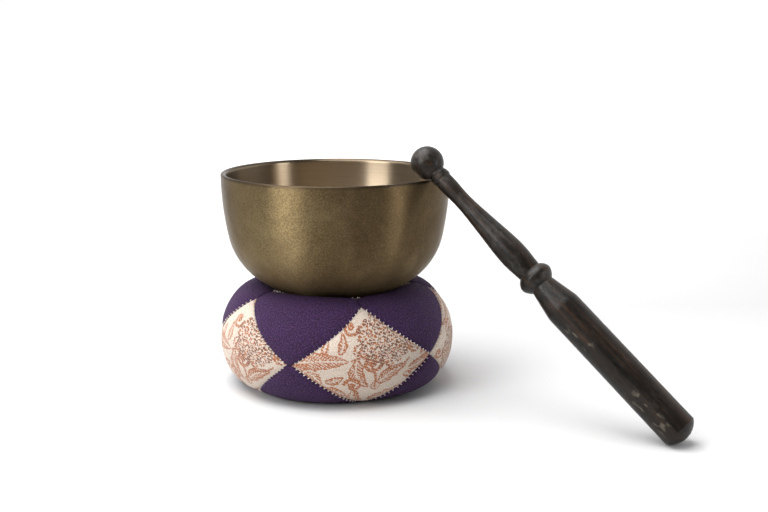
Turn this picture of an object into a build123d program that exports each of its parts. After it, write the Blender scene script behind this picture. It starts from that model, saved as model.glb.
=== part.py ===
from build123d import *
import math
import os

# A singing bowl of turned brass, resting on a round patchwork cushion, with a turned wooden
# striker leaning on its rim. Units are millimetres, +Z is up. The origin is the centre of the
# cushion's base, on the surface it stands on. The front is -Y and the striker leans to the +X side.

# Bowl: a shell of revolution whose outline is three arcs that run smoothly into each other
RIM_RADIUS = 60.0
RIM_HEIGHT = 112.2
WALL = 3.0
WALL_ARC_RADIUS = 162.0
WALL_TURN = 11.8
SHOULDER_RADIUS = 36.3
SHOULDER_TURN = 43.2
LIP_OUTER_ROUND = 0.8
LIP_INNER_ROUND = 1.6

# Cushion: a stuffed ring, squashed flat below and dimpled by the bowl above. Its outline is
# given as (radius, height) points from the foot up the belly, over the crest, then up the hole
# and along the foot again; the dimple between crest and hole follows the bowl.
BOWL_GAP = 0.35
BELLY = [(44.5, 1.0), (53.6, 4.4), (59.4, 12.6), (61.4, 22.8), (60.7, 32.8), (56.9, 42.2), (50.6, 50.2)]
CREST = [(46.4, 53.3), (42.0, 54.7)]
DIMPLE_RADII = [37.3, 30.5, 24.0]
HOLE = [(18.2, 43.2), (14.2, 35.0), (13.2, 25.0), (14.0, 14.5), (18.2, 4.9)]
FOOT = [(24.5, 1.1), (31.0, 1.0), (38.0, 1.0)]
BASE_CLOTH = 0.7
BASE_INNER_RADIUS = 24.0
BASE_OUTER_RADIUS = 46.0

# Patches: four rows of lozenges, five to a row, with a thread drawn along every seam between them
LOZENGES = 5
FIRST_LOZENGE = 14.5
OUTER_ROW_MIDDLE = 31.0
ROW_SQUEEZE = 10.0
CLOTH = 0.9
STUFFING_GAP = 0.3
PATCH_MARGIN = 0.012
THREAD_HALF = 0.007
THREAD_DEPTHS = (0.1, 0.7)
LONG_SAMPLES = 13
SHORT_SAMPLES = 4

# Striker: one turned stick, given as (distance from the ball's centre, radius)
BALL_RADIUS = 8.3
NECK_RING = [(8.0, 4.35), (8.9, 4.75), (10.9, 4.75), (11.9, 4.35)]
HANDLE_RADIUS = 8.72
WAIST = [
    (11.9, 4.35),
    (18.0, 4.37),
    (24.0, 4.05),
    (35.0, 4.5),
    (47.0, 5.6),
    (58.0, 6.6),
    (65.0, 6.75),
    (70.5, 6.3),
    (74.6, 5.9),
]
BEAD = [(74.6, 5.9), (76.4, 7.8), (78.9, 8.7), (81.4, 7.9), (83.7, 5.95)]
CONE_END = (96.9, 8.55)
HANDLE_START = 98.2
HANDLE_END = 174.9
STRIKER_END = 179.5
BALL_CENTRE = Vector(45.27, -36.72, 120.80)
FOOT_CENTRE = Vector(154.90, -110.85, 6.93)


def bowl_outline(radius, shrink):
    """The wall, shoulder and dome arcs from the rim down to the middle, drawn in the XZ plane."""
    wall = JernArc((radius, RIM_HEIGHT), (0, -1), WALL_ARC_RADIUS - shrink, -WALL_TURN)
    shoulder = JernArc(wall @ 1, wall % 1, SHOULDER_RADIUS - shrink, -SHOULDER_TURN)
    turned = WALL_TURN + SHOULDER_TURN
    dome_radius = (shoulder @ 1).X / math.cos(math.radians(turned))
    dome = JernArc(shoulder @ 1, shoulder % 1, dome_radius, turned - 90)
    return [wall, shoulder, dome], dome_radius


def spin(edges):
    """A solid turned about Z from a closed outline drawn flat, with its height along Y."""
    return revolve(Plane.XZ * make_face(edges), Axis.Z)


def build_bowl():
    outside, _ = bowl_outline(RIM_RADIUS, 0)
    inside, _ = bowl_outline(RIM_RADIUS - WALL, WALL)
    lip = Line(outside[0] @ 0, inside[0] @ 0)
    middle = Line(outside[2] @ 1, inside[2] @ 1)
    bowl = spin([*outside, *inside, lip, middle])
    rim_edges = bowl.edges().filter_by(GeomType.CIRCLE).group_by(Axis.Z)[-1].sort_by(SortBy.RADIUS)
    bowl = fillet(rim_edges[0], LIP_INNER_ROUND)
    rim_edge = bowl.edges().filter_by(GeomType.CIRCLE).group_by(Axis.Z)[-1].sort_by(SortBy.RADIUS)[-1]
    return fillet(rim_edge, LIP_OUTER_ROUND)


def ring_section():
    """The ring's closed outline, running from the foot up the outside and back down the hole."""
    outside, dome_radius = bowl_outline(RIM_RADIUS, 0)
    centre_height = (outside[2] @ 1).Y + dome_radius
    reach = dome_radius + BOWL_GAP
    dimple = [(radius, centre_height - math.sqrt(reach**2 - radius**2)) for radius in DIMPLE_RADII]
    return Spline([*BELLY, *CREST, *dimple, *HOLE, *FOOT], periodic=True)


SECTION = ring_section()
GIRTH = SECTION.length


def section_point(way, depth):
    """The outline's point a fraction of the way round, moved inward by a depth, as (radius, height)."""
    point = SECTION @ (way % 1)
    slope = SECTION % (way % 1)
    return point.X - slope.Y * depth, point.Y + slope.X * depth


def cell_point(column, row, across, up, depth):
    """A point of one lozenge cell; across and up run from 0 to 1 along its two slanted sides."""
    step = 360 / LOZENGES / 2
    turn = math.radians(FIRST_LOZENGE + step * (2 * column + row % 2 + across - up))
    quarter = (row + across + up - 1) / 4
    squeeze = ROW_SQUEEZE / GIRTH * math.sin(2 * math.pi * quarter)
    radius, height = section_point(OUTER_ROW_MIDDLE / GIRTH + quarter - squeeze, depth)
    return Vector(radius * math.sin(turn), -radius * math.cos(turn), height)


def slab(column, row, spans, counts, depths):
    """A closed solid over part of a cell, between two depths, lofted through its cross-sections."""
    (left, right), (low, high) = spans
    hoops = []
    for j in range(counts[1]):
        up = low + (high - low) * j / (counts[1] - 1)
        steps = [left + (right - left) * i / (counts[0] - 1) for i in range(counts[0])]
        over, under = [[cell_point(column, row, across, up, d) for across in steps] for d in depths]
        hoops.append(
            Wire(
                [
                    Edge.make_spline(over),
                    Edge.make_line(over[-1], under[-1]),
                    Edge.make_spline(under),
                    Edge.make_line(under[0], over[0]),
                ]
            )
        )
    band = Solid.make_loft(hoops)
    solid = Solid(Shell([*band.faces(), end_cap(band, hoops[0]), end_cap(band, hoops[-1])]))
    return solid if solid.volume > 0 else Solid(solid.wrapped.Reversed())


def end_cap(band, hoop):
    """The ruled face that closes a lofted band at one of its end hoops."""
    long_sides = hoop.edges().sort_by(SortBy.LENGTH)[-2:]
    first, second = [
        min(band.edges(), key=lambda edge: (edge @ 0.5 - side @ 0.5).length) for side in long_sides
    ]
    if (first @ 0 - second @ 0).length > (first @ 0 - second @ 1).length:
        second = second.reversed()
    return Face.make_surface_from_curves(first, second)


def build_patch(column, row):
    span = (PATCH_MARGIN, 1 - PATCH_MARGIN)
    return slab(column, row, (span, span), (LONG_SAMPLES, LONG_SAMPLES), (0, CLOTH))


def build_threads():
    """A flat thread down the middle of the gap along both upper sides of every lozenge."""
    along = (2 * PATCH_MARGIN, 1 - 2 * PATCH_MARGIN)
    across = (1 - THREAD_HALF, 1 + THREAD_HALF)
    threads = []
    for row in range(4):
        for column in range(LOZENGES):
            threads.append(slab(column, row, (along, across), (LONG_SAMPLES, SHORT_SAMPLES), THREAD_DEPTHS))
            threads.append(slab(column, row, (across, along), (SHORT_SAMPLES, LONG_SAMPLES), THREAD_DEPTHS))
    return Compound(threads)


def build_stuffing():
    """The stuffed core just under the cloth."""
    depth = CLOTH + STUFFING_GAP
    count = 40
    outline = [section_point(i / count, depth) for i in range(count)]
    return revolve(Plane.XZ * make_face(Spline(outline, periodic=True)), Axis.Z)


def build_base_cloth():
    ring = Circle(BASE_OUTER_RADIUS) - Circle(BASE_INNER_RADIUS)
    return extrude(ring, BASE_CLOTH)


def build_striker():
    """The turned stick: ball, neck, waisted shaft, bead, groove, cone and handle in one piece."""
    neck_height, neck_radius = NECK_RING[0]
    ball_edge = math.sqrt(BALL_RADIUS**2 - neck_radius**2)
    ball = ThreePointArc((0, -BALL_RADIUS), (BALL_RADIUS, 0), (neck_radius, ball_edge))
    flip = [(radius, height) for height, radius in NECK_RING]
    neck = Polyline((neck_radius, ball_edge), *flip)
    waist = Spline([(radius, height) for height, radius in WAIST])
    bead = Spline([(radius, height) for height, radius in BEAD])
    groove = (BEAD[-1][1], BEAD[-1][0])
    cone_end = (CONE_END[1], CONE_END[0])
    cone = Polyline(groove, cone_end, (HANDLE_RADIUS, HANDLE_START), (HANDLE_RADIUS, HANDLE_END))
    dome_rise = STRIKER_END - HANDLE_END
    dome_radius = (HANDLE_RADIUS**2 + dome_rise**2) / (2 * dome_rise)
    dome = RadiusArc((HANDLE_RADIUS, HANDLE_END), (0, STRIKER_END), -dome_radius)
    axis_line = Line((0, STRIKER_END), (0, -BALL_RADIUS))
    stick = spin([ball, neck, waist, bead, cone, dome, axis_line])
    return Plane(BALL_CENTRE, z_dir=FOOT_CENTRE - BALL_CENTRE) * stick


def main():
    os.makedirs("parts", exist_ok=True)
    nodes = {
        "bowl": build_bowl(),
        "striker": build_striker(),
        "stuffing_ring": build_stuffing(),
        "base_cloth": build_base_cloth(),
        "seam_thread": build_threads(),
    }
    row_names = ("outer_brocade", "top_crepe", "inner_brocade", "under_crepe")
    for row, name in enumerate(row_names):
        for column in range(LOZENGES):
            nodes[f"{name}_{column + 1}"] = build_patch(column, row)
    for name, shape in nodes.items():
        export_step(shape, f"parts/{name}.step")


main()
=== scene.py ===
import bpy
import math
import numpy as np
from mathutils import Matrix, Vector


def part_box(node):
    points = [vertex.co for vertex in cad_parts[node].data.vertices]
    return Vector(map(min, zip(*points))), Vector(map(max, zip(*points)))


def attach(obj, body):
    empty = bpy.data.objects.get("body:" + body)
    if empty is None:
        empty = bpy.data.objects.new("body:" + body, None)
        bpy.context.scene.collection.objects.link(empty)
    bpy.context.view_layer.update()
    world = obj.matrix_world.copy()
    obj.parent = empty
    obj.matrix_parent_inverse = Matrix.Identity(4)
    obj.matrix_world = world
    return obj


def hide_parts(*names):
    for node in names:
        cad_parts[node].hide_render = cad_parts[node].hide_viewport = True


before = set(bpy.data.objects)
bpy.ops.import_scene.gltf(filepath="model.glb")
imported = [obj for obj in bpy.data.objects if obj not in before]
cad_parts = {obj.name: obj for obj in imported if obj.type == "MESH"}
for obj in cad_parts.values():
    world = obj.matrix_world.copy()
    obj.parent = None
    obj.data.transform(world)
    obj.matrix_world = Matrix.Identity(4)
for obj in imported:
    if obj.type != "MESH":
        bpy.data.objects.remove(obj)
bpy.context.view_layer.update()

MM = 0.001

# The cushion's outline, the same points as in the CAD model: (radius, height) in millimetres
BELLY = [(44.5, 1.0), (53.6, 4.4), (59.4, 12.6), (61.4, 22.8), (60.7, 32.8), (56.9, 42.2), (50.6, 50.2)]
CREST = [(46.4, 53.3), (42.0, 54.7)]
DIMPLE_RADII = [37.3, 30.5, 24.0]
HOLE = [(18.2, 43.2), (14.2, 35.0), (13.2, 25.0), (14.0, 14.5), (18.2, 4.9)]
FOOT = [(24.5, 1.1), (31.0, 1.0), (38.0, 1.0)]
DOME_RADIUS = 72.99
BOWL_GAP = 0.35
LOZENGES = 5
FIRST_LOZENGE = 14.5
OUTER_ROW_MIDDLE = 31.0
ROW_SQUEEZE = 10.0

# Cloth: how far a patch swells, how deep its seams are drawn in, and the pitch of what is sewn
SWELL = 0.9
SWELL_REACH = 7
SEAM_DEPTH = 0.75
SEAM_REACH = 1.5
PUCKER = 0.16
PUCKER_REACH = 4.0
STITCH_PITCH = 2.55
STITCH_LENGTH = 0.85
STITCH_RADIUS = 0.21
STITCH_RISE = 0.62
STITCH_SINK = 0.42
STITCH_SEED = 20
TOOTH = 0.22
TOOTH_REACH = 0.5
THREAD_PITCH = 0.5
CLOTH_THICKNESS = 0.6
FIGURE_RAISE = 0.06
# The stuffed core lies this deep under the cushion's surface
CORE_DEPTH = 1.45
# Spacing of the mesh points of each cloth
BROCADE_PITCH = 0.27
INNER_BROCADE_PITCH = 0.45
CREPE_PITCH = 0.6
# The ring of cloth under the cushion: inner and outer radius, thickness, width of its turned edge
BASE_CLOTH = (24.0, 46.0, 0.7, 0.6)
# Its stitches draw the outer edge in: by this share of the radius on average, over this many millimetres
BASE_WAVE = 0.006
BASE_WAVE_REACH = 6

# The bowl's weight presses the crest down: how far, where, over what width, and above what height
PRESS = 1.7
PRESS_RADIUS = 43.0
PRESS_WIDTH = 7.0
PRESS_ABOVE = 40
# Where cloth is under the bowl (inside this radius, above this height), it lies this far off it
SEAT_RADIUS = 43
SEAT_ABOVE = 35
SEAT_GAP = 0.12

# The two crepes beside each brocade tip meet in a short seam before the inner brocade begins
CREPE_SEAM = 0.26
# One outer brocade is cut short at its right tip, as a share of half its width
SHORT_COLUMN = 4
SHORT_TIP = 0.075

# Middle of the brighter patch on the front of the bowl, in metres: partly rubbed patina, partly a painted
# highlight where the left lamp's highlight falls
RUBBED_PATCH_AND_HIGHLIGHT = (-0.032, -0.050, 0.094)

# Striker: the centres of its ball end and of its foot, in metres
BALL_CENTRE = Vector((0.04527, -0.03672, 0.12080))
FOOT_CENTRE = Vector((0.15490, -0.11085, 0.00693))

# Camera: its place in metres, its lens in millimetres, how far it tips down and turns in degrees
CAMERA_PLACE = (0, -0.600, 0.1874)
CAMERA_LENS = 53.74
CAMERA_DOWN = 11.37
CAMERA_TURN = -2.43


# ---------------------------------------------------------------- small helpers

def new_mesh(name, points, faces):
    mesh = bpy.data.meshes.new(name)
    mesh.from_pydata([tuple(p) for p in points], [], faces)
    mesh.polygons.foreach_set("use_smooth", [True] * len(mesh.polygons))
    mesh.update()
    piece = bpy.data.objects.new(name, mesh)
    bpy.context.scene.collection.objects.link(piece)
    return piece


def grid_faces(lines, places):
    """The faces between neighbouring points of a grid of lines, each of that many places."""
    number = np.arange(lines * places).reshape(lines, places)
    corners = [number[:-1, :-1], number[:-1, 1:], number[1:, 1:], number[1:, :-1]]
    return np.stack(corners, axis=-1).reshape(-1, 4).tolist()


def apply_modifier(piece, kind, **settings):
    modifier = piece.modifiers.new(kind.lower(), kind)
    for key, value in settings.items():
        setattr(modifier, key, value)
    bpy.context.view_layer.objects.active = piece
    with bpy.context.temp_override(object=piece, active_object=piece, selected_objects=[piece]):
        bpy.ops.object.modifier_apply(modifier=modifier.name)


def smoothstep(low, high, value):
    share = np.clip((value - low) / (high - low), 0, 1)
    return share * share * (3 - 2 * share)


def ripple(x, y, z, seed):
    """A smooth made-up noise between about -1 and 1, from a few crossed waves."""
    rng = np.random.default_rng(seed)
    total = 0
    for _ in range(6):
        direction = rng.normal(size=3)
        direction /= np.linalg.norm(direction)
        phase = direction[0] * x + direction[1] * y + direction[2] * z
        total = total + np.sin(phase + rng.uniform(0, 6.28))
    return total / 3.4


# ---------------------------------------------------------------- the cushion's surface

def closed_spline(points, count):
    """A smooth closed curve through the points, as count places evenly spaced along it."""
    ring = np.array(points + points[:1])
    steps = np.linalg.norm(np.diff(ring, axis=0), axis=1)
    knots = np.concatenate([[0], np.cumsum(steps)])
    size = len(points)
    left = np.zeros((size, size))
    right = np.zeros((size, 2))
    for i in range(size):
        before, after = steps[i - 1], steps[i]
        left[i, i - 1] += before
        left[i, i] += 2 * (before + after)
        left[i, (i + 1) % size] += after
        previous = ring[i - 1 if i else size - 1]
        right[i] = 6 * ((ring[i + 1] - ring[i]) / after - (ring[i] - previous) / before)
    bend = np.linalg.solve(left, right)
    bend = np.vstack([bend, bend[:1]])
    fine = np.linspace(0, knots[-1], count * 4 + 1)
    span = np.clip(np.searchsorted(knots, fine, side="right") - 1, 0, size - 1)
    length = steps[span][:, None]
    near = (fine - knots[span])[:, None]
    far = length - near
    curve = (
        bend[span] * far**3 / (6 * length)
        + bend[span + 1] * near**3 / (6 * length)
        + (ring[span] / length - bend[span] * length / 6) * far
        + (ring[span + 1] / length - bend[span + 1] * length / 6) * near
    )
    walked = np.concatenate([[0], np.cumsum(np.linalg.norm(np.diff(curve, axis=0), axis=1))])
    even = np.linspace(0, walked[-1], count + 1)
    places = np.column_stack([np.interp(even, walked, curve[:, k]) for k in (0, 1)])
    return places, walked[-1]


DOME_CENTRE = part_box("bowl")[0][2] / MM + DOME_RADIUS
dimple = [(r, DOME_CENTRE - math.sqrt((DOME_RADIUS + BOWL_GAP) ** 2 - r * r)) for r in DIMPLE_RADII]
OUTLINE, GIRTH = closed_spline([*BELLY, *CREST, *dimple, *HOLE, *FOOT], 2000)
SLOPES = np.gradient(OUTLINE, axis=0)
SLOPES /= np.linalg.norm(SLOPES, axis=1)[:, None]
WAYS = np.linspace(0, 1, len(OUTLINE))


def cell_surface(column, row, sideways, level, lift):
    """Points of one cell in millimetres, raised by lift from the cushion's surface.

    sideways runs from -1 to 1 over the cell's width and level from -1 to 1 over its height."""
    step = 360 / LOZENGES / 2
    turn = np.radians(FIRST_LOZENGE + step * (2 * column + row % 2 + sideways))
    quarter = (row + level) / 4
    way = (OUTER_ROW_MIDDLE / GIRTH + quarter - ROW_SQUEEZE / GIRTH * np.sin(2 * np.pi * quarter)) % 1
    radius = np.interp(way, WAYS, OUTLINE[:, 0])
    height = np.interp(way, WAYS, OUTLINE[:, 1])
    lift = lift - press(radius, height)
    radius = radius + lift * np.interp(way, WAYS, SLOPES[:, 1])
    height = height - lift * np.interp(way, WAYS, SLOPES[:, 0])
    return np.stack([radius * np.sin(turn), -radius * np.cos(turn), height], axis=-1)


def press(radius, height):
    return PRESS * np.exp(-(((radius - PRESS_RADIUS) / PRESS_WIDTH) ** 2)) * (height > PRESS_ABOVE)


def keep_off_bowl(points):
    """Cloth under the bowl lies against it and not in it."""
    centre = np.array([0, 0, DOME_CENTRE])
    from_centre = points - centre
    reach = np.linalg.norm(from_centre, axis=-1, keepdims=True)
    pressed = centre + from_centre / reach * (DOME_RADIUS + SEAT_GAP)
    radius = np.hypot(points[..., 0], points[..., 1])[..., None]
    inside = (reach < DOME_RADIUS + SEAT_GAP) & (radius < SEAT_RADIUS) & (points[..., 2:] > SEAT_ABOVE)
    return np.where(inside, pressed, points)


def cell_edges(column, row, sideways):
    """The lowest and highest level of a cell at each sideways place."""
    reach = 1 - np.abs(sideways)
    low, high = -reach, reach.copy()
    if row == 1:
        high = 1 - (1 - CREPE_SEAM) * np.abs(sideways)
    if row == 2:
        low = -(1 - CREPE_SEAM) * reach
    if column == SHORT_COLUMN and row % 2:
        place = np.clip(1 + sideways, 0, 1)
        cut = (1 - np.sqrt(1 - 4 * SHORT_TIP * place)) / (2 * SHORT_TIP)
        if row == 1:
            low = np.where(sideways < 0, -np.minimum(cut, 1), low)
        else:
            high = np.where(sideways < 0, np.minimum(cut, 1), high)
    return low, high


def patch_lift(column, row, edges):
    """How far cloth stands off the cushion: swollen in the middle, drawn in at the seams.

    edges lists (distance to a seam, place along that seam) in millimetres."""
    swell = SWELL
    nearest = edges[0][0]
    for edge, _ in edges:
        swell = swell * (1 - np.exp(-edge / SWELL_REACH))
        nearest = np.minimum(nearest, edge)
    nearest = np.maximum(nearest, 0)
    lift = swell - SEAM_DEPTH * np.exp(-((nearest / SEAM_REACH) ** 1.3))
    for number, (edge, place) in enumerate(edges):
        pull = np.cos(2 * np.pi * place / STITCH_PITCH) * np.exp(-edge / PUCKER_REACH * 1.6)
        broad = ripple(place / 2.6, edge / 6, 0 * place, 71 * column + 13 * row + number)
        lift = lift + PUCKER * 0.5 * pull + PUCKER * 1.5 * broad * np.exp(-edge / PUCKER_REACH)
    return lift


# ---------------------------------------------------------------- the brocade's woven figure

# The size of one repeat of the figure, in millimetres
TILE = (66.0, 58.0)


def leaf(x, y, place, angle, length, width, bend):
    """Distance along a leaf's spine, distance aside of it, half the width there, and what is inside."""
    turn = math.radians(angle)
    along = ((x - place[0]) * math.cos(turn) + (y - place[1]) * math.sin(turn)) / length
    aside = -(x - place[0]) * math.sin(turn) + (y - place[1]) * math.cos(turn)
    along = along + 0.5
    aside = aside - bend * np.sin(np.pi * np.clip(along, 0, 1))
    half = width / 2 * np.sin(np.pi * np.clip(along, 0, 1) ** 0.75) ** 0.8 + 1e-6
    lobes = 1 - 0.16 * np.abs(np.sin(along * length * np.pi / 5.5))
    inside = (along > 0.02) & (along < 0.98) & (np.abs(aside) < half * lobes)
    return along * length, aside, half * lobes, inside


def hatched_leaf(x, y, place, angle, length, width, bend):
    along, aside, half, inside = leaf(x, y, place, angle, length, width, bend)
    veins = np.sin((along - 1.1 * np.abs(aside)) * 2 * np.pi / 1.9) > -0.5
    spine = np.abs(aside) > 0.42
    edge = np.abs(aside) > half - 0.85
    return inside & ((veins & spine) | edge)


def open_leaf(x, y, place, angle, length, width, bend):
    along, aside, half, inside = leaf(x, y, place, angle, length, width, bend)
    outline = (np.abs(aside) > half - 1.05) | (np.abs(np.abs(aside) - half * 0.42) < 0.52)
    tip = along > length * 0.86
    return inside & (outline | tip)


def scroll(x, y, place, angle, size, turns, thick):
    dx, dy = x - place[0], y - place[1]
    reach = np.hypot(dx, dy)
    swing = (np.arctan2(dy, dx) - math.radians(angle)) % (2 * np.pi)
    found = np.zeros(x.shape, bool)
    for lap in range(int(turns) + 1):
        total = swing + 2 * np.pi * lap
        share = total / (2 * np.pi * turns)
        band = thick * (0.55 + 0.6 * share)
        found |= (share < 1) & (np.abs(reach - size * share**0.8) < band / 2)
    return found | (reach < thick * 0.9)


def blossom(x, y, place, angle, size, petals, gap):
    dx, dy = x - place[0], y - place[1]
    reach = np.hypot(dx, dy)
    swing = np.arctan2(dy, dx) - math.radians(angle)
    rim = size * (0.74 + 0.26 * np.abs(np.cos(petals * swing / 2)))
    rings = np.sin(reach / rim * np.pi * 2 * gap + 0.7 * np.cos(petals * swing)) > -0.15
    rays = np.abs(np.sin(petals * swing / 2)) > 0.22
    return (reach < rim) & ((rings & rays) | (reach < size * 0.14)) & (reach > size * 0.08)


def cluster(x, y, place, angle, width, tall, pitch):
    """A dense head of small round florets, each a ring with a dot in it."""
    dx, dy = x - place[0], y - place[1]
    turn = math.radians(angle)
    along = dx * math.cos(turn) + dy * math.sin(turn)
    aside = -dx * math.sin(turn) + dy * math.cos(turn)
    along = along + 0.5 * np.sin(aside * 0.9) + 0.3 * np.sin(along * 1.7)
    line = np.round(aside / (pitch * 0.87))
    column = np.round(along / pitch - 0.5 * (line % 2)) + 0.5 * (line % 2)
    floret_x, floret_y = column * pitch, line * pitch * 0.87
    reach = np.hypot(along - floret_x, aside - floret_y)
    chance = np.sin(column * 91.7 + line * 47.3) * 917.3
    chance = chance - np.floor(chance)
    swing = np.arctan2(aside - floret_y, along - floret_x)
    notch = np.cos(swing * 5 + 6.28 * chance) > -0.75
    outer = pitch * (0.44 + 0.1 * chance)
    ring = (reach < outer) & (reach > outer * 0.38) & notch
    dot = reach < outer * 0.2
    inside = (floret_x / width) ** 2 + (floret_y / tall) ** 2 < 0.25
    return inside & (ring | dot)


def stem(x, y, start, end, sag, thick):
    run = np.array(end) - np.array(start)
    length = np.hypot(*run)
    along = ((x - start[0]) * run[0] + (y - start[1]) * run[1]) / length
    aside = (-(x - start[0]) * run[1] + (y - start[1]) * run[0]) / length
    share = np.clip(along / length, 0, 1)
    return (along > 0) & (along < length) & (np.abs(aside - sag * np.sin(np.pi * share)) < thick / 2)


# One repeat of the cloth, in millimetres from its middle: (drawing function, its measures)
FIGURE = [
    (hatched_leaf, (-23.5, 2.5), 4, 28, 12.0, 1.2),
    (hatched_leaf, (-3.0, -4.5), -72, 19, 9.0, -3.4),
    (hatched_leaf, (-5.5, -21.0), 112, 15, 9.0, 2.0),
    (hatched_leaf, (12.5, -6.0), 32, 19, 8.5, 1.5),
    (hatched_leaf, (29.0, -1.5), 24, 17, 8.0, -1.2),
    (hatched_leaf, (-27.5, -8.0), -48, 12, 6.5, 1.6),
    (hatched_leaf, (-17.5, -17.5), -12, 14, 7.5, 1.6),
    (hatched_leaf, (-13.5, 13.5), 84, 12, 5.0, -1.0),
    (hatched_leaf, (-20.5, 11.0), 78, 10, 4.2, 1.0),
    (hatched_leaf, (28.0, -24.0), 30, 17, 8.0, -2.0),
    (hatched_leaf, (-27.0, 22.0), 12, 17, 7.0, 2.0),
    (hatched_leaf, (9.5, -27.5), 8, 13, 6.0, 1.2),
    (open_leaf, (16.0, -16.5), 20, 34, 9.5, -2.6),
    (open_leaf, (-27.0, -24.0), 14, 17, 7.0, 2.2),
    (scroll, (1.5, 1.5), 210, 5.2, 1.5, 1.9),
    (scroll, (-8.0, -11.5), 30, 4.6, 1.4, 1.7),
    (scroll, (-8.5, 21.5), 250, 4.2, 1.3, 1.6),
    (scroll, (-32.0, -16.0), 20, 3.6, 1.3, 1.5),
    (scroll, (26.5, 22.5), 90, 4.8, 1.5, 1.7),
    (scroll, (-31.0, 12.5), -60, 3.8, 1.3, 1.5),
    (cluster, (9.5, 14.5), -24, 34, 27, 4.7),
    (blossom, (25.5, 8.5), 80, 4.6, 5, 1.6),
    (blossom, (3.5, -12.5), 0, 3.0, 5, 1.4),
    (hatched_leaf, (-4.5, 10.0), 60, 9, 5.0, 1.0),
    (hatched_leaf, (-17.0, -7.5), 20, 10, 5.5, -1.0),
    (hatched_leaf, (22.0, -9.5), -30, 8, 5.0, 0.8),
    (hatched_leaf, (18.0, 24.5), 160, 12, 6.0, 1.0),
    (stem, (-9.0, 3.5), (4.0, 6.0), 1.4, 1.3),
    (stem, (3.0, -13.0), (-2.0, 4.0), -2.2, 1.3),
    (stem, (8.0, -3.0), (22.0, 2.0), -1.8, 1.2),
    (stem, (-12.0, -9.0), (-4.0, -24.0), 2.0, 1.2),
    (stem, (-24.0, -12.0), (-10.0, -26.0), 1.8, 1.2),
]
HEADS = [item for item in FIGURE if item[0] is cluster]


def woven_figure(x, y):
    """Three shares at places of the cloth, stepped thread by thread: whether the place is figure,
    how far it belongs to a flower head's darker thread, and a chance number for its thread."""
    weft = np.floor(y / THREAD_PITCH)
    warp = np.floor(x / THREAD_PITCH + 0.5 * (weft % 2))
    x = (warp - 0.5 * (weft % 2)) * THREAD_PITCH
    y = weft * THREAD_PITCH
    x = (x + TILE[0] / 2) % TILE[0] - TILE[0] / 2
    y = (y + TILE[1] / 2) % TILE[1] - TILE[1] / 2
    drawn = np.zeros(x.shape, bool)
    flowery = np.zeros(x.shape)
    for dx in (-TILE[0], 0, TILE[0]):
        for dy in (-TILE[1], 0, TILE[1]):
            for draw, *measures in FIGURE:
                drawn |= draw(x + dx, y + dy, *measures)
            for _, place, _, width, tall, _ in HEADS:
                reach = np.hypot(x + dx - place[0], y + dy - place[1])
                flowery = np.maximum(flowery, 1 - smoothstep(tall * 0.42, width * 0.62, reach))
    twill = (warp + 2 * weft) % 7 != 0
    dots = np.sin(warp * 12.9898 + weft * 78.233) * 43758.5453
    dots = dots - np.floor(dots)
    patch = np.sin(np.floor(x / 1.5) * 37.7 + np.floor(y / 1.5) * 91.3) * 4375.85
    accent = flowery * (patch - np.floor(patch) > 0.35)
    return (drawn & twill).astype(float), accent, dots


# ---------------------------------------------------------------- materials

def material(name):
    made = bpy.data.materials.new(name)
    made.use_nodes = True
    nodes = made.node_tree.nodes
    nodes.clear()
    shader = nodes.new("ShaderNodeBsdfPrincipled")
    output = nodes.new("ShaderNodeOutputMaterial")
    made.node_tree.links.new(shader.outputs[0], output.inputs[0])
    return made, shader


class Graph:
    """Short ways of adding nodes to one material or world."""

    def __init__(self, made):
        self.tree = made.node_tree

    def node(self, kind, inputs=(), **settings):
        made = self.tree.nodes.new(kind)
        for key, value in settings.items():
            setattr(made, key, value)
        for key, value in dict(inputs).items():
            if hasattr(value, "is_output"):
                self.tree.links.new(value, made.inputs[key])
            else:
                made.inputs[key].default_value = value
        return made

    def link(self, source, target):
        self.tree.links.new(source, target)

    def math(self, operation, first, second=0.0):
        return self.node("ShaderNodeMath", {0: first, 1: second}, operation=operation).outputs[0]

    def noise(self, vector, scale, detail=3.0, rough=0.55, distort=0.0):
        inputs = {"Vector": vector, "Scale": scale, "Detail": detail, "Roughness": rough}
        inputs["Distortion"] = distort
        return self.node("ShaderNodeTexNoise", inputs).outputs["Fac"]

    def ramp(self, value, stops):
        made = self.node("ShaderNodeValToRGB", {"Fac": value})
        elements = made.color_ramp.elements
        while len(elements) < len(stops):
            elements.new(0.5)
        for element, (place, colour) in zip(elements, stops):
            element.position = place
            element.color = (*colour, 1)
        return made.outputs["Color"]

    def range(self, value, low, high, new_low, new_high):
        inputs = {"Value": value, "From Min": low, "From Max": high}
        inputs.update({"To Min": new_low, "To Max": new_high})
        return self.node("ShaderNodeMapRange", inputs).outputs[0]

    def mix(self, factor, first, second):
        made = self.node("ShaderNodeMix", {"Factor": factor}, data_type="RGBA")
        for socket, value in ((made.inputs[6], first), (made.inputs[7], second)):
            if hasattr(value, "is_output"):
                self.link(value, socket)
            else:
                socket.default_value = (*value, 1)
        return made.outputs[2]

    def stretch(self, vector, scale, place=(0, 0, 0), turn=(0, 0, 0), kind="POINT"):
        inputs = {"Vector": vector, "Location": place, "Rotation": turn, "Scale": scale}
        return self.node("ShaderNodeMapping", inputs, vector_type=kind).outputs[0]

    def bump(self, height, strength, distance, normal=None):
        inputs = {"Height": height, "Strength": strength, "Distance": distance}
        if normal:
            inputs["Normal"] = normal
        return self.node("ShaderNodeBump", inputs).outputs[0]

    def place(self):
        return self.node("ShaderNodeTexCoord").outputs["Object"]

    def parts(self, vector):
        """The X, Y and Z of a vector."""
        return self.node("ShaderNodeSeparateXYZ", {0: vector}).outputs

    def band(self, value, middle, half):
        """1 where the value is near middle, falling to 0 at half away from it."""
        away = self.math("ABSOLUTE", self.math("SUBTRACT", value, middle))
        return self.range(away, half * 0.6, half, 1.0, 0.0)


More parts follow.
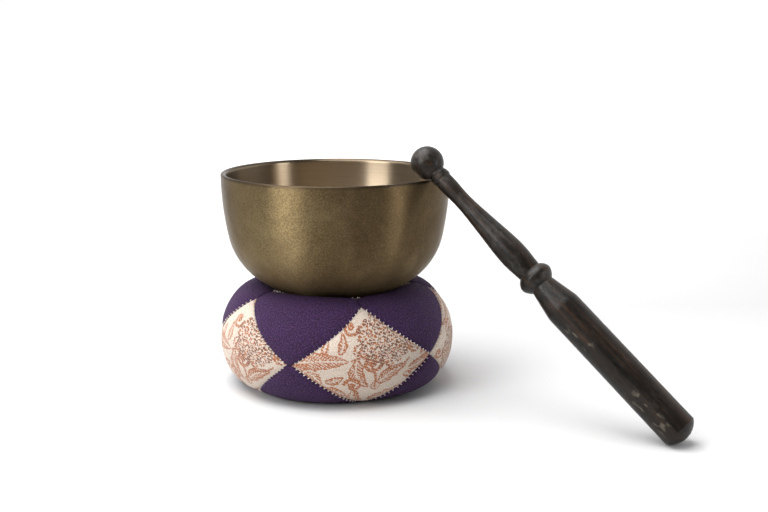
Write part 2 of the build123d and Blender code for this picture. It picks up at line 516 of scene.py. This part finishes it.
def brass():
    """Aged brass: turned brushing round the axis, cloudy patina, small spots, a lighter rubbed patch on
    the front-left that is also a painted highlight, a darker lip.
    """
    made, shader = material("aged_brass")
    g = Graph(made)
    place = g.place()
    split = g.parts(place)
    square_x = g.math("MULTIPLY", split[0], split[0])
    square_y = g.math("MULTIPLY", split[1], split[1])
    radius = g.math("SQRT", g.math("ADD", square_x, square_y))
    climb = g.math("MULTIPLY", g.math("ADD", split[2], radius), 95.0)
    turned = g.node("ShaderNodeCombineXYZ", {0: split[0], 1: split[1], 2: climb}).outputs[0]
    fine_lines = g.noise(turned, 62.0, 5.0, 0.7)
    coarse_lines = g.noise(turned, 16.0, 3.0, 0.6)
    clouds = g.noise(place, 34.0, 5.0, 0.62, 0.6)
    blotches = g.noise(g.stretch(place, (1, 1, 0.8), (3, 1, 7)), 95.0, 6.0, 0.68, 0.3)
    specks = g.noise(place, 1300.0, 4.0, 0.65)
    normal = g.parts(g.node("ShaderNodeNewGeometry").outputs["Normal"])
    outward_x = g.math("MULTIPLY", split[0], normal[0])
    outward_y = g.math("MULTIPLY", split[1], normal[1])
    outside = g.range(g.math("ADD", outward_x, outward_y), -0.004, 0.004, 0.0, 1.0)
    patina = g.ramp(
        clouds, [(0.3, (0.086, 0.056, 0.028)), (0.5, (0.112, 0.077, 0.04)), (0.72, (0.16, 0.117, 0.06))]
    )
    stained = g.mix(g.range(blotches, 0.5, 0.78, 0.0, 0.5), patina, (0.1, 0.056, 0.028))
    polish = g.range(coarse_lines, 0.35, 0.7, 0.0, 1.0)
    clean = g.mix(polish, (0.3, 0.238, 0.168), (0.33, 0.265, 0.19))
    base = g.mix(outside, clean, stained)
    base = g.mix(g.range(fine_lines, 0.4, 0.75, 0.0, 0.06), base, (0.5, 0.39, 0.22))
    speckled = g.math("MULTIPLY", outside, g.range(specks, 0.35, 0.65, -0.16, 0.16))
    base = g.mix(g.math("MAXIMUM", speckled, 0.0), base, (0.3, 0.24, 0.11))
    base = g.mix(g.math("MAXIMUM", g.math("MULTIPLY", speckled, -1.0), 0.0), base, (0.03, 0.02, 0.012))
    # Lighter rubbed patina on the front-left, which is also a painted highlight where the left lamp's
    # highlight falls
    inputs = {0: place, 1: RUBBED_PATCH_AND_HIGHLIGHT}
    away = g.node("ShaderNodeVectorMath", inputs, operation="DISTANCE").outputs["Value"]
    uneven = g.range(blotches, 0.3, 0.6, 0.35, 1.0)
    rubbed = g.math("MULTIPLY", g.range(away, 0.006, 0.04, 1.0, 0.0), uneven)
    rubbed = g.math("MULTIPLY", rubbed, g.range(specks, 0.4, 0.6, 0.25, 1.0))
    base = g.mix(g.math("MULTIPLY", rubbed, outside), base, (0.235, 0.178, 0.088))
    lip = g.range(split[2], 0.1105, 0.1119, 0.0, 1.0)
    base = g.mix(lip, base, (0.06, 0.043, 0.027))
    g.link(base, shader.inputs["Base Color"])
    shader.inputs["Metallic"].default_value = 1.0
    dull = g.range(clouds, 0.3, 0.75, 0.44, 0.34)
    dull = g.math("ADD", dull, g.range(blotches, 0.4, 0.8, 0.0, 0.1))
    rough = g.node("ShaderNodeMix", {0: outside, 2: 0.29, 3: dull}).outputs[0]
    rough = g.math("ADD", rough, g.range(fine_lines, 0.3, 0.8, -0.02, 0.03))
    g.link(rough, shader.inputs["Roughness"])
    shader.inputs["Anisotropic"].default_value = 0.9
    shader.inputs["Specular Tint"].default_value = (0.74, 0.72, 0.7, 1)
    shader.inputs["Anisotropic Rotation"].default_value = 0.25
    tangent = g.node("ShaderNodeTangent", direction_type="RADIAL", axis="Z").outputs[0]
    g.link(tangent, shader.inputs["Tangent"])
    lines = g.bump(fine_lines, 0.02, 0.00002)
    worn = g.math("MULTIPLY", outside, g.math("ADD", blotches, g.math("MULTIPLY", specks, 0.12)))
    pits = g.bump(worn, 0.3, 0.00015, lines)
    g.link(pits, shader.inputs["Normal"])
    return made


def dark_wood():
    """Waxed ebony-dark wood: streaks of red-brown along the grain, open pores, grey dust laid on thickest
    at the neck where it is also a painted sheen, rubbed pale chips.
    """
    made, shader = material("dark_wood")
    g = Graph(made)
    run = FOOT_CENTRE - BALL_CENTRE
    turn = run.to_track_quat("Z", "Y").to_euler()
    local = g.stretch(g.place(), (1, 1, 1), tuple(BALL_CENTRE), tuple(turn), "TEXTURE")
    grain_place = g.stretch(local, (1, 1, 0.07))
    streaks = g.noise(grain_place, 420.0, 6.0, 0.62, 0.5)
    bands = g.noise(grain_place, 130.0, 4.0, 0.6, 0.8)
    pores = g.noise(g.stretch(local, (1, 1, 0.045)), 2300.0, 2.0, 0.5)
    dust_and_sheen_patches = g.noise(local, 70.0, 5.0, 0.65)
    dark, brown, red = (0.0035, 0.0028, 0.0022), (0.008, 0.0055, 0.0038), (0.034, 0.0155, 0.0075)
    base = g.ramp(streaks, [(0.36, dark), (0.52, brown), (0.7, red)])
    base = g.mix(g.range(bands, 0.5, 0.72, 0.0, 0.6), base, (0.032, 0.0165, 0.01))
    dust = g.noise(g.stretch(local, (1, 1, 0.5)), 650.0, 5.0, 0.7)
    along = g.parts(local)[2]
    # Grey dust, thickest towards the ball end: partly real dust, partly a painted sheen on the neck
    neck_dust_and_sheen = g.range(along, 0.065, 0.09, 1.0, 0.25)
    dust_and_sheen = g.range(dust, 0.42, 0.66, 0.0, 0.9)
    dust_and_sheen = g.math("MULTIPLY", g.range(dust_and_sheen_patches, 0.4, 0.65, 0.0, 0.9), dust_and_sheen)
    base = g.mix(g.math("MULTIPLY", dust_and_sheen, neck_dust_and_sheen), base, (0.062, 0.057, 0.048))
    base = g.mix(g.range(pores, 0.6, 0.72, 0.0, 0.7), base, (0.003, 0.002, 0.002))
    chips = g.noise(g.stretch(local, (1, 1, 0.6), (0.3, 0.1, 0.7)), 330.0, 3.0, 0.5)
    # the chips sit in two stretches of the handle, on the side turned to the left and the front
    stretches = g.math("MAXIMUM", g.band(along, 0.114, 0.009), g.band(along, 0.16, 0.014))
    worn_side = run.to_track_quat("Z", "Y").inverted() @ Vector((-0.55, -0.8, -0.1)).normalized()
    inputs = {0: local, 1: tuple(worn_side)}
    facing = g.node("ShaderNodeVectorMath", inputs, operation="DOT_PRODUCT").outputs["Value"]
    facing = g.math("SUBTRACT", facing, g.math("MULTIPLY", along, worn_side.z))
    rubbed = g.math("MULTIPLY", stretches, g.range(facing, 0.0077, 0.0084, 0.0, 1.0))
    chipped = g.math("MULTIPLY", g.range(chips, 0.56, 0.66, 0.0, 1.0), rubbed)
    base = g.mix(g.math("MULTIPLY", chipped, 0.8), base, (0.1, 0.086, 0.064))
    g.link(base, shader.inputs["Base Color"])
    rough = g.math("ADD", g.range(streaks, 0.3, 0.7, 0.26, 0.36), g.range(dust, 0.4, 0.7, 0.0, 0.14))
    g.link(rough, shader.inputs["Roughness"])
    shader.inputs["Specular IOR Level"].default_value = 0.23
    height = g.math("SUBTRACT", g.math("MULTIPLY", streaks, 0.4), g.range(pores, 0.55, 0.72, 0.0, 1.0))
    height = g.math("SUBTRACT", height, g.math("MULTIPLY", chipped, 1.2))
    g.link(g.bump(height, 0.5, 0.00012), shader.inputs["Normal"])
    return made


def cloth_place(g):
    return g.node("ShaderNodeUVMap", uv_map="cloth").outputs[0]


def crepe():
    """Purple crepe: fine crinkled grain, a few lighter threads, slow fading where it is rubbed."""
    made, shader = material("purple_crepe")
    g = Graph(made)
    cloth = cloth_place(g)
    crinkle = g.noise(g.stretch(cloth, (1, 1.3, 1)), 58.0, 3.0, 0.7, 0.3)
    grain = g.noise(g.stretch(cloth, (1.4, 1, 1), (5, 2, 0)), 90.0, 2.0, 0.6)
    slow = g.noise(cloth, 9.0, 3.0, 0.6)
    base = g.ramp(
        crinkle, [(0.38, (0.009, 0.002, 0.014)), (0.5, (0.023, 0.006, 0.036)), (0.62, (0.078, 0.03, 0.1))]
    )
    base = g.mix(g.range(grain, 0.56, 0.68, 0.0, 0.4), base, (0.13, 0.064, 0.155))
    base = g.mix(g.range(slow, 0.35, 0.7, 0.0, 0.35), base, (0.035, 0.013, 0.078))
    g.link(base, shader.inputs["Base Color"])
    shader.inputs["Roughness"].default_value = 0.82
    shader.inputs["Specular IOR Level"].default_value = 0.25
    shader.inputs["Sheen Weight"].default_value = 0.08
    shader.inputs["Sheen Roughness"].default_value = 0.4
    shader.inputs["Sheen Tint"].default_value = (0.6, 0.4, 0.75, 1)
    height = g.math("ADD", crinkle, g.math("MULTIPLY", grain, 0.6))
    g.link(g.bump(height, 1.0, 0.0008), shader.inputs["Normal"])
    return made


def brocade():
    """Cream brocade: ribbed ground, copper figure in satin thread, umber in the flower heads."""
    made, shader = material("cream_brocade")
    g = Graph(made)
    cloth = cloth_place(g)
    painted = g.node("ShaderNodeAttribute", attribute_name="figure")
    parts = g.node("ShaderNodeSeparateColor", {0: painted.outputs["Color"]}).outputs
    figure, accent, chance = parts[0], parts[1], parts[2]
    thread = g.noise(g.stretch(cloth, (1, 0.5, 1)), 110.0, 4.0, 0.7)
    slow = g.noise(cloth, 7.0, 3.0, 0.55)
    ground = g.ramp(
        thread, [(0.34, (0.31, 0.25, 0.2)), (0.5, (0.52, 0.435, 0.365)), (0.64, (0.7, 0.615, 0.54))]
    )
    ground = g.mix(g.range(slow, 0.4, 0.7, 0.0, 0.3), ground, (0.6, 0.5, 0.41))
    copper = g.ramp(
        thread, [(0.3, (0.19, 0.055, 0.018)), (0.55, (0.36, 0.12, 0.042)), (0.75, (0.5, 0.2, 0.09))]
    )
    umber = g.mix(g.range(chance, 0.75, 0.95, 0.0, 1.0), (0.14, 0.06, 0.035), (0.035, 0.02, 0.018))
    copper = g.mix(g.math("MULTIPLY", accent, 0.8), copper, umber)
    sharp = g.range(figure, 0.35, 0.65, 0.0, 1.0)
    base = g.mix(sharp, ground, copper)
    g.link(base, shader.inputs["Base Color"])
    g.link(g.range(sharp, 0.0, 1.0, 0.78, 0.5), shader.inputs["Roughness"])
    shader.inputs["Specular IOR Level"].default_value = 0.35
    shader.inputs["Sheen Weight"].default_value = 0.2
    shader.inputs["Sheen Roughness"].default_value = 0.35
    inputs = {"Vector": cloth, "Scale": 24.0, "Distortion": 0.6}
    ribs = g.node("ShaderNodeTexWave", inputs, bands_direction="DIAGONAL")
    height = g.math("ADD", g.math("MULTIPLY", ribs.outputs["Fac"], 0.5), thread)
    height = g.math("ADD", height, g.math("MULTIPLY", sharp, 0.7))
    g.link(g.bump(height, 0.6, 0.0003), shader.inputs["Normal"])
    return made


def thread_material():
    """Pale twisted sewing thread."""
    made, shader = material("sewing_thread")
    g = Graph(made)
    wisps = g.noise(g.place(), 2600.0, 3.0, 0.6)
    base = g.ramp(wisps, [(0.3, (0.5, 0.43, 0.37)), (0.7, (0.84, 0.78, 0.72))])
    g.link(base, shader.inputs["Base Color"])
    shader.inputs["Roughness"].default_value = 0.7
    g.link(g.bump(wisps, 0.5, 0.0001), shader.inputs["Normal"])
    return made


def stuffing_material():
    """Dark cotton lining, seen only down in the seams."""
    made, shader = material("cotton_lining")
    g = Graph(made)
    weave = g.noise(g.place(), 1500.0, 4.0, 0.6)
    base = g.ramp(weave, [(0.3, (0.05, 0.03, 0.055)), (0.7, (0.11, 0.075, 0.11))])
    g.link(base, shader.inputs["Base Color"])
    shader.inputs["Roughness"].default_value = 0.95
    g.link(g.bump(weave, 0.6, 0.0002), shader.inputs["Normal"])
    return made


def white_floor():
    """Pale floor, lit from within towards the back like a back-lit sweep."""
    made, shader = material("pale_floor")
    g = Graph(made)
    place = g.place()
    faint = g.noise(place, 3.0, 2.0, 0.5)
    base = g.ramp(faint, [(0.3, (0.555, 0.555, 0.56)), (0.7, (0.57, 0.57, 0.57))])
    g.link(base, shader.inputs["Base Color"])
    shader.inputs["Roughness"].default_value = 0.9
    back = g.parts(place)[1]
    shader.inputs["Emission Color"].default_value = (1, 1, 1, 1)
    g.link(g.range(back, 0.15, 1.1, 0.0, 1.0), shader.inputs["Emission Strength"])
    return made


# ---------------------------------------------------------------- the cushion's pieces

# Where each column's patches are cut from the cloth: (shift across, shift up, turn in degrees)
CUTS = [(0, 0, 0), (21, 17, -12), (-25, 9, 14), (12, -23, 172), (-6, 2, 6)]
# How far one lozenge spreads over the cloth each way, and where each row is cut, in millimetres
CUT_REACH = (38.0, 31.5)
ROW_SHIFT = (19, 11)
# Millimetres of cloth in one unit of its UV map
CLOTH_UNIT = 50
ROWS = ("outer_brocade", "top_crepe", "inner_brocade", "under_crepe")
# Length of a lozenge's edge in the outer row and in the row that lines the hole
CELL_SIZE = 49.0
INNER_CELL_SIZE = 40.0
# No point of the cloth is lower than this, in metres
LOWEST_CLOTH = 0.00015


def edge_length(row):
    return CELL_SIZE if row == 0 else INNER_CELL_SIZE


def seat_brocade(column, row, sideways, level):
    """Draws a brocade's places in where it is smaller than its cell: the inner row and one tip."""
    if row == 2:
        level = np.where(level < 0, level * (1 - CREPE_SEAM), level)
    if row == 0 and column == SHORT_COLUMN:
        sideways = np.where(sideways > 0, sideways * (1 - SHORT_TIP * sideways), sideways)
    return sideways, level


def patch_grid(column, row, pitch):
    """The cell's places as (sideways, level) and its seams as (distance, place along) pairs."""
    count = int(CELL_SIZE / pitch) + 1
    share = np.linspace(0.0, 1.0, count)
    if row % 2:
        sideways, climb = np.meshgrid(np.linspace(-0.997, 0.997, int(count * 1.3)), share)
        low, high = cell_edges(column, row, sideways)
        level = low + (high - low) * climb
        half = CELL_SIZE / 2
        along = sideways * CELL_SIZE
        edges = [
            ((level - low) * half, along),
            ((high - level) * half, along),
            ((1 - np.abs(sideways)) * CELL_SIZE * 0.8, level * half),
        ]
        return sideways, level, edges
    across, up = np.meshgrid(share, share)
    size = edge_length(row)
    edges = [
        (across * size, up * size),
        ((1 - across) * size, up * size),
        (up * size, across * size),
        ((1 - up) * size, across * size),
    ]
    sideways, level = across - up, across + up - 1
    # the whip stitches pull the edge of the brocade out into small teeth
    for (edge, place), (push_side, push_level) in zip(edges, ((-1, -1), (1, 1), (1, -1), (-1, 1))):
        wave = np.abs((place / STITCH_PITCH) % 1 - 0.5) * 2
        reach = TOOTH * (2 * wave**2 - 0.25) * np.exp(-edge / TOOTH_REACH)
        reach = reach * np.sin(np.pi * place / size) ** 0.3
        sideways = sideways + push_side * reach / CELL_SIZE
        level = level + push_level * reach / CELL_SIZE
    return *seat_brocade(column, row, sideways, level), edges


def write_cloth_map(mesh, flat):
    """Keeps each point's place on the flat cloth, in millimetres, as the UV map of the cloth."""
    loops = np.empty(len(mesh.loops), int)
    mesh.loops.foreach_get("vertex_index", loops)
    layer = mesh.uv_layers.new(name="cloth")
    layer.data.foreach_set("uv", (flat[loops] / CLOTH_UNIT).ravel())


def build_patch(column, row, cloth_material):
    """One piece of cloth as a closed sheet, with its place on the cloth kept as a UV map."""
    figured = row % 2 == 0
    pitch = (BROCADE_PITCH, CREPE_PITCH, INNER_BROCADE_PITCH, CREPE_PITCH)[row]
    sideways, level, edges = patch_grid(column, row, pitch)
    lift = patch_lift(column, row, edges)
    shift_x, shift_y, turn = CUTS[column]
    cosine, sine = math.cos(math.radians(turn)), math.sin(math.radians(turn))
    spread, rise = CUT_REACH[0] * sideways, CUT_REACH[1] * level
    cloth_x = spread * cosine - rise * sine + shift_x + ROW_SHIFT[0] * row
    cloth_y = spread * sine + rise * cosine + shift_y + ROW_SHIFT[1] * row
    if figured:
        drawn, accent, chance = woven_figure(cloth_x, cloth_y)
        lift = lift + FIGURE_RAISE * drawn
    points = keep_off_bowl(cell_surface(column, row, sideways, level, lift)) * MM
    points[..., 2] = np.maximum(points[..., 2], LOWEST_CLOTH)
    name = f"{ROWS[row]}_patch_{column + 1}"
    patch = new_mesh(name, points.reshape(-1, 3), grid_faces(*sideways.shape))
    mesh = patch.data
    write_cloth_map(mesh, np.stack([cloth_x.ravel(), cloth_y.ravel()], axis=-1))
    if figured:
        paint = mesh.color_attributes.new("figure", "FLOAT_COLOR", "POINT")
        colours = np.stack([drawn, accent, chance, np.ones_like(drawn)], axis=-1)
        paint.data.foreach_set("color", colours.ravel())
    mesh.materials.append(cloth_material)
    apply_modifier(patch, "SOLIDIFY", thickness=CLOTH_THICKNESS * MM, offset=-1)
    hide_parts(f"{ROWS[row]}_{column + 1}")
    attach(patch, "cushion")


def build_stitches(made):
    """Slanted whip stitches over the edges of every brocade, each a short arched tube of thread."""
    points, faces = [], []
    rng = np.random.default_rng(STITCH_SEED)
    for row in (0, 2):
        for column in range(LOZENGES):
            for side, toward in ((0, -1), (0, 1), (1, -1), (1, 1)):
                length = edge_length(row)
                count = int(length / STITCH_PITCH)
                for k in range(1, count):
                    along = (k + rng.uniform(-0.1, 0.1)) * STITCH_PITCH / length
                    path = stitch_path(column, row, side, toward, along, length, rng)
                    add_tube(points, faces, path, STITCH_RADIUS * rng.uniform(0.85, 1.15), 6)
    stitches = new_mesh("seam_stitches", np.array(points) * MM, faces)
    stitches.data.materials.append(made)
    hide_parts("seam_thread")
    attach(stitches, "cushion")


def stitch_path(column, row, side, toward, along, length, rng):
    """One stitch from inside the brocade's edge over it and down into the crepe beside it."""
    half = STITCH_LENGTH / 2 / length * rng.uniform(0.8, 1.2)
    share = np.linspace(-1, 1, 7)
    outward = (0.5 + 0.5 * toward) + toward * (share * half + 0.12 * half)
    run = along + share * 0.35 * half
    lift = -STITCH_SINK + STITCH_RISE * (1 - share**2) + rng.uniform(-0.06, 0.06)
    across, up = (run, outward) if side else (outward, run)
    sideways, level = seat_brocade(column, row, across - up, across + up - 1)
    return keep_off_bowl(cell_surface(column, row, sideways, level, lift))


def add_tube(points, faces, path, radius, sides):
    """Adds a closed tube along a path, tapered at its ends."""
    first = len(points)
    count = len(path)
    heading = np.gradient(path, axis=0)
    heading /= np.linalg.norm(heading, axis=1)[:, None]
    outward = path * np.array([1, 1, 0])
    aside = np.cross(heading, outward)
    aside /= np.linalg.norm(aside, axis=1)[:, None]
    upward = np.cross(aside, heading)
    for i in range(count):
        wide = radius * (0.55 if i in (0, count - 1) else 1.0)
        for j in range(sides):
            angle = 2 * math.pi * j / sides
            points.append(path[i] + wide * (math.cos(angle) * aside[i] + math.sin(angle) * upward[i]))
    for i in range(count - 1):
        for j in range(sides):
            a, b = first + i * sides + j, first + i * sides + (j + 1) % sides
            faces.append((a, b, b + sides, a + sides))
    faces.append(tuple(first + j for j in reversed(range(sides))))
    faces.append(tuple(first + (count - 1) * sides + j for j in range(sides)))


def build_core(made):
    """The lined and stuffed ring under the patches."""
    way = np.linspace(0, 1, 97)[:-1]
    radius = np.interp(way, WAYS, OUTLINE[:, 0])
    height = np.interp(way, WAYS, OUTLINE[:, 1])
    depth = CORE_DEPTH + press(radius, height)
    radius = radius - depth * np.interp(way, WAYS, SLOPES[:, 1])
    height = height + depth * np.interp(way, WAYS, SLOPES[:, 0])
    return spun_ring("stuffed_core", radius, height, made, 120)


def spun_ring(name, radius, height, made, segments):
    """A closed ring turned about Z from a closed outline in millimetres."""
    turns = np.linspace(0, 2 * np.pi, segments + 1)[:-1]
    across = np.outer(np.sin(turns), radius)
    away = -np.outer(np.cos(turns), radius)
    points = np.stack([across, away, np.outer(np.ones(segments), height)], axis=-1)
    count = len(radius)
    faces = []
    for i in range(segments):
        for j in range(count):
            after, above = (i + 1) % segments, (j + 1) % count
            corners = (i * count + j, after * count + j, after * count + above, i * count + above)
            faces.append(corners)
    ring = new_mesh(name, points.reshape(-1, 3) * MM, faces)
    ring.data.materials.append(made)
    return ring


def build_base(made):
    """The flat ring of crepe sewn under the cushion, hemmed and slightly waved along its edges."""
    inner, outer, thick, hem = BASE_CLOTH
    across = inner + hem + (outer - inner - 2 * hem) * np.linspace(0, 1, 12)
    bend = np.radians(np.linspace(-90, 90, 7))[1:-1]
    turned = hem * np.cos(bend)
    radius = np.concatenate([across, outer - hem + turned, across[::-1], inner + hem - turned])
    half = thick / 2
    bottom, top = np.zeros_like(across), np.full_like(across, thick)
    rise = half * np.sin(bend)
    height = np.concatenate([bottom, half + rise, top, half - rise])
    ring = spun_ring("base_cloth_ring", radius, height, made, 180)
    mesh = ring.data
    places = np.empty(len(mesh.vertices) * 3)
    mesh.vertices.foreach_get("co", places)
    places = places.reshape(-1, 3)
    reach = np.hypot(places[:, 0], places[:, 1])
    near_edge = smoothstep((outer - BASE_WAVE_REACH) * MM, outer * MM, reach)
    turn = np.arctan2(places[:, 1], places[:, 0])
    stitches = round(2 * math.pi * outer / STITCH_PITCH)
    pull = 1 - BASE_WAVE * near_edge * (1 + np.cos(turn * stitches))
    places[:, :2] *= pull[:, None]
    mesh.vertices.foreach_set("co", places.ravel())
    write_cloth_map(mesh, places[:, :2] / MM)
    mesh.update()
    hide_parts("base_cloth")
    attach(ring, "cushion")


def build_cushion():
    core = build_core(stuffing_material())
    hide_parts("stuffing_ring")
    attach(core, "cushion")
    cloths = (brocade(), crepe())
    for row in range(4):
        for column in range(LOZENGES):
            build_patch(column, row, cloths[row % 2])
    build_stitches(thread_material())
    build_base(cloths[1])


def dress(node, made):
    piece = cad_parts[node]
    piece.data.materials.clear()
    piece.data.materials.append(made)
    for polygon in piece.data.polygons:
        polygon.material_index = 0


# ---------------------------------------------------------------- studio

def area_light(name, place, aim, size, power):
    data = bpy.data.lights.new(name, "AREA")
    data.shape = "RECTANGLE"
    data.size, data.size_y = size
    data.energy = power
    lamp = bpy.data.objects.new(name, data)
    lamp.location = place
    lamp.rotation_euler = (Vector(aim) - Vector(place)).to_track_quat("-Z", "Y").to_euler()
    bpy.context.scene.collection.objects.link(lamp)
    return lamp


def build_floor():
    count = 60
    side = 30.0
    steps = np.linspace(-side / 2, side / 2, count)
    x, y = np.meshgrid(steps, steps)
    points = np.stack([x, y, np.zeros_like(x)], axis=-1).reshape(-1, 3)
    floor = new_mesh("studio_floor", points, grid_faces(count, count))
    floor.data.materials.append(white_floor())


def build_world():
    """Studio light from all round: dark in front of the object and bright behind it, along Y."""
    world = bpy.data.worlds.new("studio")
    bpy.context.scene.world = world
    world.use_nodes = True
    world.node_tree.nodes.clear()
    g = Graph(world)
    direction = g.parts(g.node("ShaderNodeTexCoord").outputs["Generated"])
    toward_back = g.range(direction[1], -1.0, 1.0, 0.0, 1.0)
    stops = [(0.0, (0.07, 0.065, 0.06)), (0.4, (0.22, 0.22, 0.22)), (0.62, (1.05, 1.05, 1.05))]
    background = g.node("ShaderNodeBackground", {0: g.ramp(toward_back, stops)})
    output = g.node("ShaderNodeOutputWorld")
    g.link(background.outputs[0], output.inputs[0])


def build_camera():
    data = bpy.data.cameras.new("camera")
    data.sensor_width = 36.0
    data.lens = CAMERA_LENS
    data.clip_start = 0.01
    camera = bpy.data.objects.new("camera", data)
    camera.location = CAMERA_PLACE
    camera.rotation_euler = (math.radians(90 - CAMERA_DOWN), 0, math.radians(CAMERA_TURN))
    bpy.context.scene.collection.objects.link(camera)
    bpy.context.scene.camera = camera


build_camera()
build_world()
build_floor()
overhead = area_light("overhead", (-0.24, -0.05, 0.75), (-0.03, 0.0, 0), (0.85, 0.75), 6.3)
overhead.data.spread = math.radians(120)
area_light("left_window", (-0.72, -0.6, 0.44), (0, 0, 0.08), (0.44, 0.45), 6.0)
area_light("right_reflector", (0.85, -0.45, 0.25), (0, 0, 0.08), (0.22, 0.5), 2.4)

build_cushion()
dress("bowl", brass())
dress("striker", dark_wood())

bpy.context.scene.view_settings.view_transform = "Standard"
